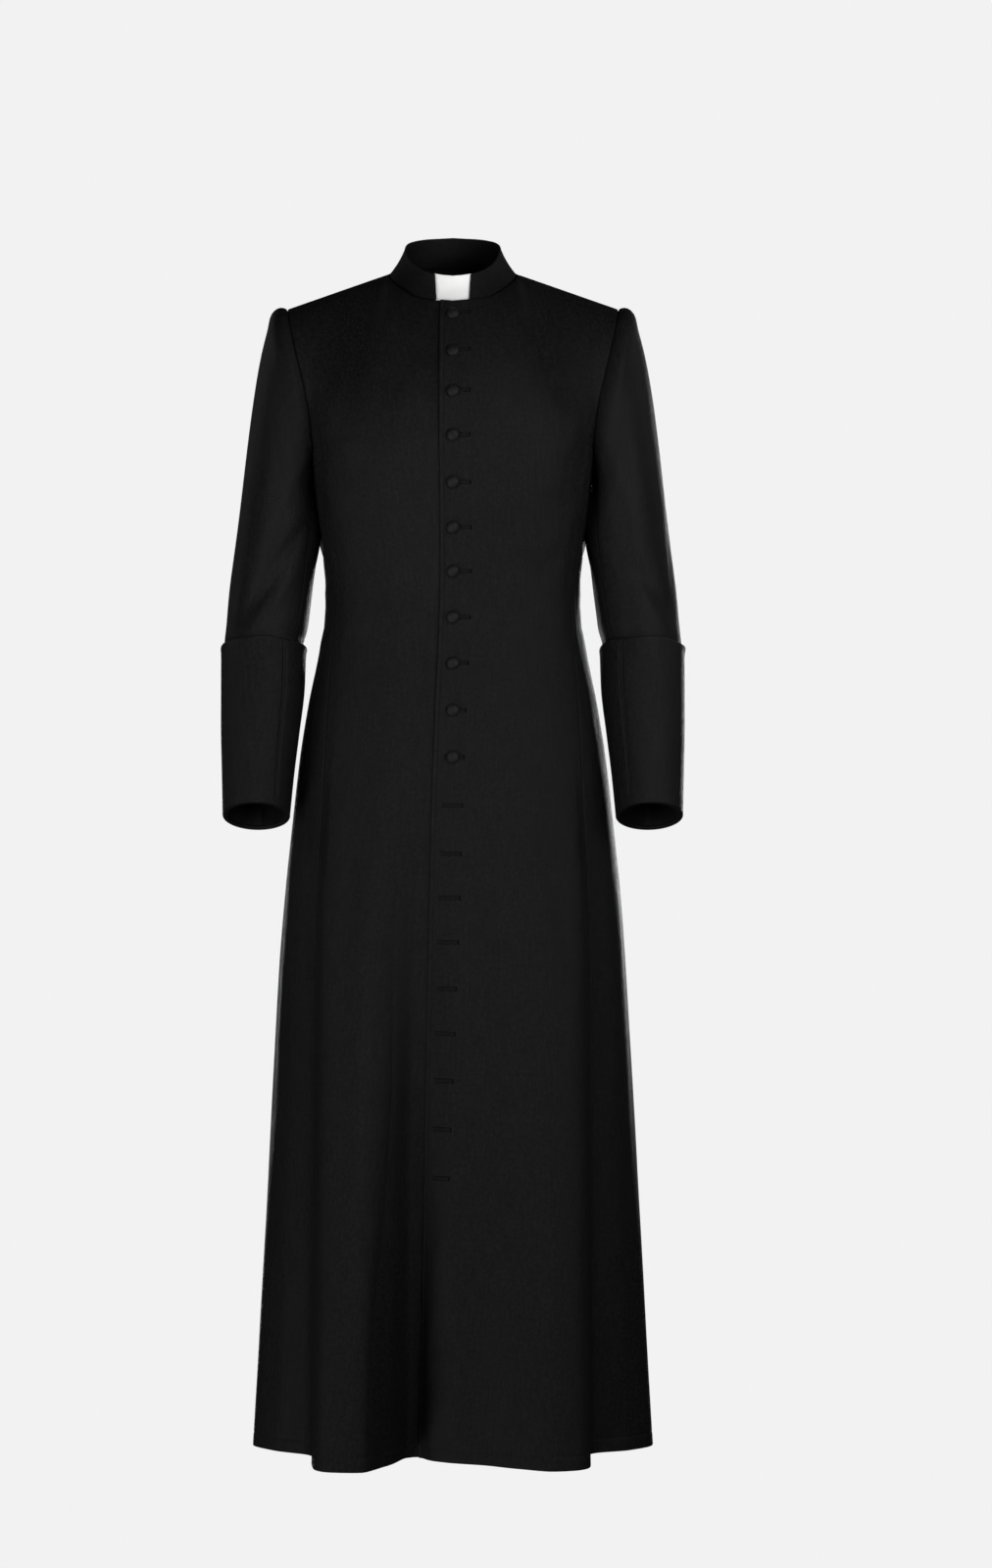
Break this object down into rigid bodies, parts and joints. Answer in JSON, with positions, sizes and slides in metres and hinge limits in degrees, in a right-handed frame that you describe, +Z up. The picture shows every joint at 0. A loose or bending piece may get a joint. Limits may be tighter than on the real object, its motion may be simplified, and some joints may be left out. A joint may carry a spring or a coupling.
{
  "type": "cassock",
  "caption": "Ankle-length single-breasted black cassock in worn shape, with stand collar, white tab, deep turned-back cuffs, covered buttons and a flared, folded skirt.",
  "frame": {"origin": "middle of the neck at the height of the shoulder seams, where the wearer's shoulders hold the garment up", "axes": "+Z up along the garment's length, -Y out of its front, +X to the wearer's left"},
  "size_m": [0.5716, 0.42, 1.4997],
  "materials": {
    "black_wool": "fine matt worsted wool with a faint sheen",
    "covered_button": "satin-faced cloth stretched over a dome",
    "collar_white": "smooth semi-matt white"
  },
  "bodies": {
    "root": {"front_left": "black_wool", "front_right": "black_wool", "side_left": "black_wool", "side_right": "black_wool", "back_left": "black_wool", "back_right": "black_wool", "collar": "black_wool", "collar_tab": "collar_white", "sleeve_left_upper": "black_wool", "sleeve_left_under": "black_wool", "sleeve_right_upper": "black_wool", "sleeve_right_under": "black_wool", "cuff_left": "black_wool", "cuff_right": "black_wool", "button_01": "covered_button", "button_02": "covered_button", "button_03": "covered_button", "button_04": "covered_button", "button_05": "covered_button", "button_06": "covered_button", "button_07": "covered_button", "button_08": "covered_button", "button_09": "covered_button", "button_10": "covered_button", "button_11": "covered_button"}
  },
  "joints": []
}
